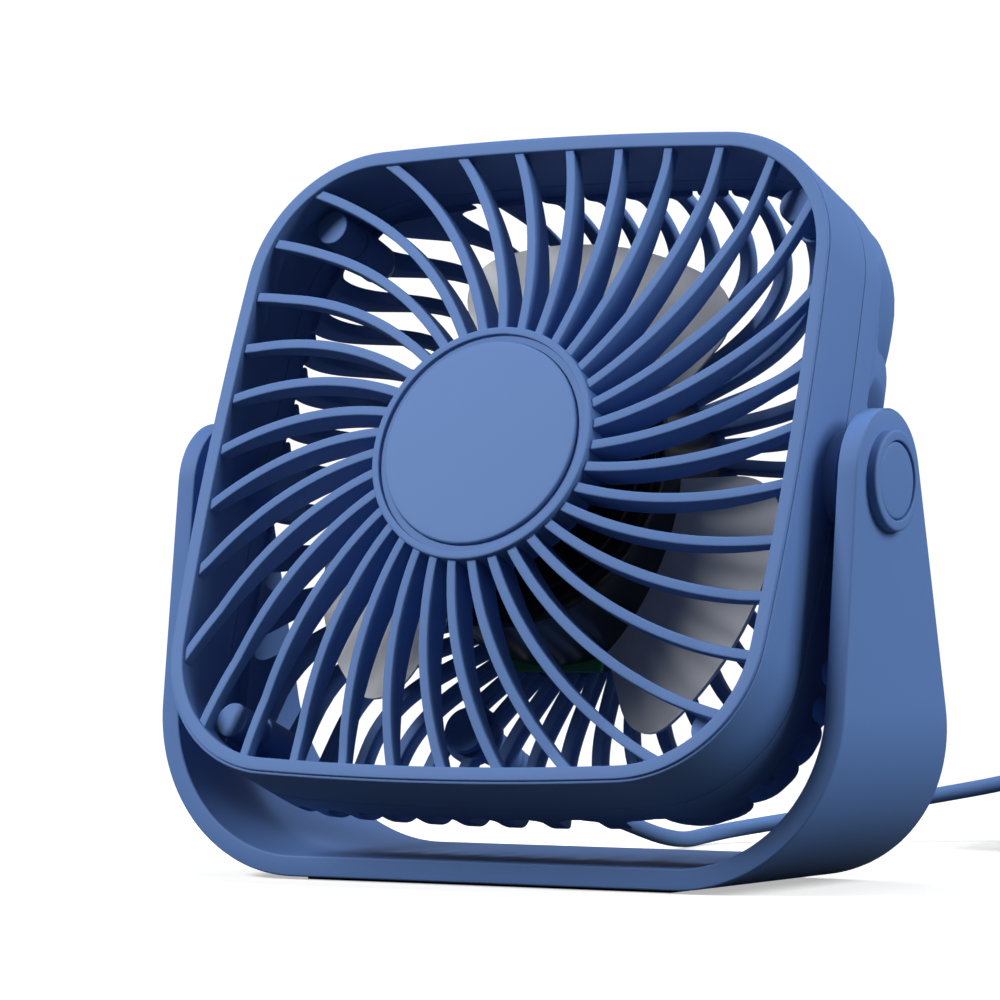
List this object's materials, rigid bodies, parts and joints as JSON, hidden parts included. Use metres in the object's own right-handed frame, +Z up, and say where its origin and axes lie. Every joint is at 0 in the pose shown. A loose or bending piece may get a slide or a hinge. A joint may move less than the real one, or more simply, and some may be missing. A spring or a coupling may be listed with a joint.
{
  "type": "desk fan",
  "caption": "Small square-headed desk fan that tilts in a U-shaped bracket, with a spiral front grille and a USB lead.",
  "frame": {"origin": "standing surface, directly below the tilt axis, midway between the bracket's arms", "axes": "+X to the right of someone facing the grille, +Y to the back, +Z up; it blows towards -Y"},
  "size_m": [0.1665, 0.2292, 0.148],
  "materials": {
    "shell_blue": "moulded plastic, fine matt grain",
    "cap_blue": "moulded plastic, satin",
    "silver_plastic": "silver-coloured moulded plastic, satin gloss",
    "black_gloss": "moulded plastic, gloss black",
    "dark_plastic": "moulded plastic, dark grey",
    "steel": "plain steel",
    "copper": "enamelled copper wire",
    "brass": "turned brass",
    "magnet": "sintered ferrite",
    "board": "solder resist",
    "foot_rubber": "matt rubber",
    "cord_jacket": "soft jacket, satin",
    "plug_jacket": "soft moulded plastic, fine grain",
    "plug_steel": "bright plated steel"
  },
  "bodies": {
    "stand": {"stand_bracket": "shell_blue", "non_slip_pad": "foot_rubber", "pivot_cap_left": "shell_blue", "pivot_cap_right": "shell_blue", "friction_washer_left": "dark_plastic", "friction_washer_right": "dark_plastic", "cord_drop": "cord_jacket", "cord_run": "cord_jacket", "cord_coil": "cord_jacket", "coil_tie": "dark_plastic", "cord_tail": "cord_jacket", "plug_relief": "plug_jacket", "plug_body": "plug_jacket", "plug_shell": "plug_steel", "plug_tongue": "dark_plastic", "plug_contacts": "brass"},
    "head": {"front_cover": "shell_blue", "hub_cap": "cap_blue", "rear_cover": "shell_blue", "cover_screws": "steel", "motor_mount": "dark_plastic", "motor_screws": "steel", "stator_core": "steel", "stator_windings": "copper", "front_bearing": "steel", "rear_bearing": "steel", "switch_board": "board", "tact_switch": "dark_plastic", "strain_relief": "cord_jacket", "pivot_insert_left": "brass", "pivot_insert_right": "brass", "pivot_screw_left": "steel", "pivot_screw_right": "steel"},
    "impeller": {"impeller_hub": "black_gloss", "blade_1": "silver_plastic", "blade_2": "silver_plastic", "blade_3": "silver_plastic", "rotor_cup": "steel", "rotor_magnet": "magnet", "motor_shaft": "steel", "shaft_clip": "steel"},
    "button": {"speed_button": "shell_blue"}
  },
  "joints": [
    {"name": "head_tilt", "type": "hinge", "parent": "stand", "child": "head", "pos_m": [0, 0, 0.0781], "axis": [1, 0, 0], "range_deg": [-50, 50], "deforming": ["cord_drop"]},
    {"name": "impeller_spin", "type": "hinge", "parent": "head", "child": "impeller", "pos_m": [0, 0, 0.0781], "axis": [0, -0.9397, 0.342], "continuous": true},
    {"name": "button_press", "type": "slide", "parent": "head", "child": "button", "axis": [0, -0.9397, 0.342], "range_m": [0, 0.0008], "stiffness_N_per_m": 900, "springref_m": -0.0002}
  ]
}
